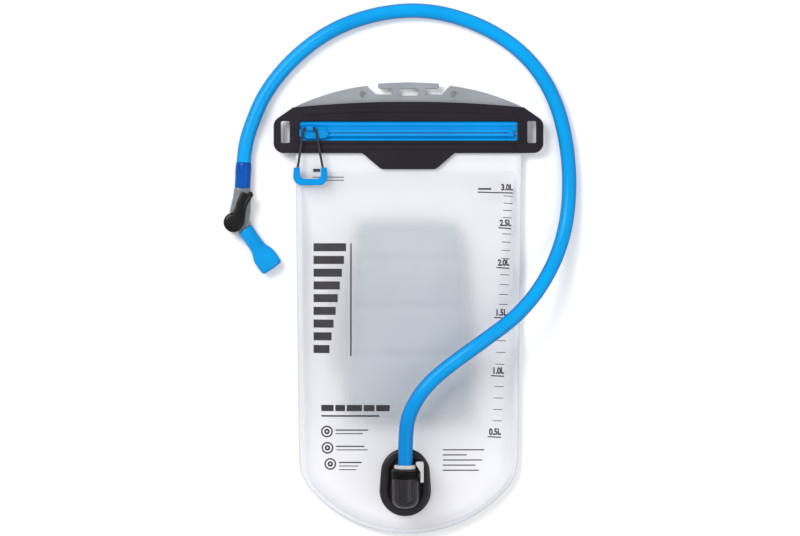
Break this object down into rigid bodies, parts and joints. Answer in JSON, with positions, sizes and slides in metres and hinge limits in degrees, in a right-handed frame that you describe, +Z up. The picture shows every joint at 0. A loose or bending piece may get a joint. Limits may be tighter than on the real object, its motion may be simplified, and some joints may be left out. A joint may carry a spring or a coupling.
{
  "type": "hydration bladder",
  "caption": "Frosted flat water bag with a zip top, hanger and hose port, and a hose with an on/off bite valve.",
  "frame": {"origin": "on the surface the bag lies on, under the centre of the bag, frame and hanger without the hose", "axes": "+X towards the right side of the bag, +Y along the bag towards the hanger, +Z up out of the front film"},
  "size_m": [0.3271, 0.492, 0.062],
  "materials": {
    "film": "frosted soft film",
    "inner_sheet": "matt sheet",
    "black_frame": "satin coated fabric",
    "grey_plastic": "satin moulded",
    "blue_tape": "satin coated tape",
    "blue_plastic": "gloss moulded",
    "black_cord": "braided cord",
    "black_soft": "satin soft plastic",
    "black_plastic": "satin moulded",
    "steel": "drawn wire",
    "pale_plastic": "satin moulded",
    "seal_rubber": "matt",
    "blue_hose": "glossy flexible tube",
    "dark_blue_cuff": "satin soft tube",
    "blue_silicone": "satin silicone"
  },
  "bodies": {
    "bag": {"front_panel": "film", "back_panel": "film", "baffle_panel": "inner_sheet", "zip_frame": "black_frame", "hanger": "grey_plastic", "upper_tape": "blue_tape", "lower_tape": "blue_tape", "upper_track": "blue_plastic", "lower_track": "blue_plastic", "left_stop": "blue_plastic", "right_stop": "blue_plastic", "port_base": "black_soft", "port_socket": "black_plastic", "clip_pin": "steel", "poppet_spring": "steel"},
    "slider": {"slider_body": "blue_plastic"},
    "pull": {"pull_cord": "black_cord", "pull_grip": "blue_plastic"},
    "clip": {"release_clip": "pale_plastic"},
    "poppet": {"poppet": "pale_plastic", "poppet_seal": "seal_rubber"},
    "hose_end": {"hose_connector": "pale_plastic", "connector_orings": "seal_rubber", "hose": "blue_hose", "hose_cuff": "dark_blue_cuff", "valve_housing": "grey_plastic", "rotor_retainer": "black_plastic"},
    "lever": {"valve_lever": "black_plastic", "valve_rotor": "black_plastic", "rotor_orings": "seal_rubber"},
    "bite": {"bite_valve": "blue_silicone"}
  },
  "joints": [
    {"name": "zip_slide", "type": "slide", "parent": "bag", "child": "slider", "axis": [1, 0, 0], "range_m": [0, 0.165]},
    {"name": "pull_swing", "type": "hinge", "parent": "slider", "child": "pull", "pos_m": [-0.09145, 0.1662, 0.01685], "axis": [-1, 0, 0], "range_deg": [0, 150]},
    {"name": "clip_press", "type": "hinge", "parent": "bag", "child": "clip", "pos_m": [0.0121, -0.1515, 0.048], "axis": [0, 0, -1], "range_deg": [0, 6], "stiffness_Nm_per_rad": 0.05},
    {"name": "hose_unplug", "type": "slide", "parent": "bag", "child": "hose_end", "axis": [0, 1, 0], "range_m": [0, 0.025]},
    {"name": "poppet_slide", "type": "slide", "parent": "bag", "child": "poppet", "axis": [0, 1, 0], "range_m": [0, 0.0022], "deforming": ["poppet_spring"]},
    {"name": "lever_turn", "type": "hinge", "parent": "hose_end", "child": "lever", "pos_m": [-0.162, 0.0794, 0.0076], "axis": [0, 0, 1], "range_deg": [0, 90]},
    {"name": "bite_valve_pull", "type": "slide", "parent": "hose_end", "child": "bite", "axis": [0.5751, -0.8181, 0], "range_m": [0, 0.02]}
  ],
  "couplings": [
    {"joint": "poppet_slide", "follows": "hose_unplug", "ratio": 0.088}
  ]
}
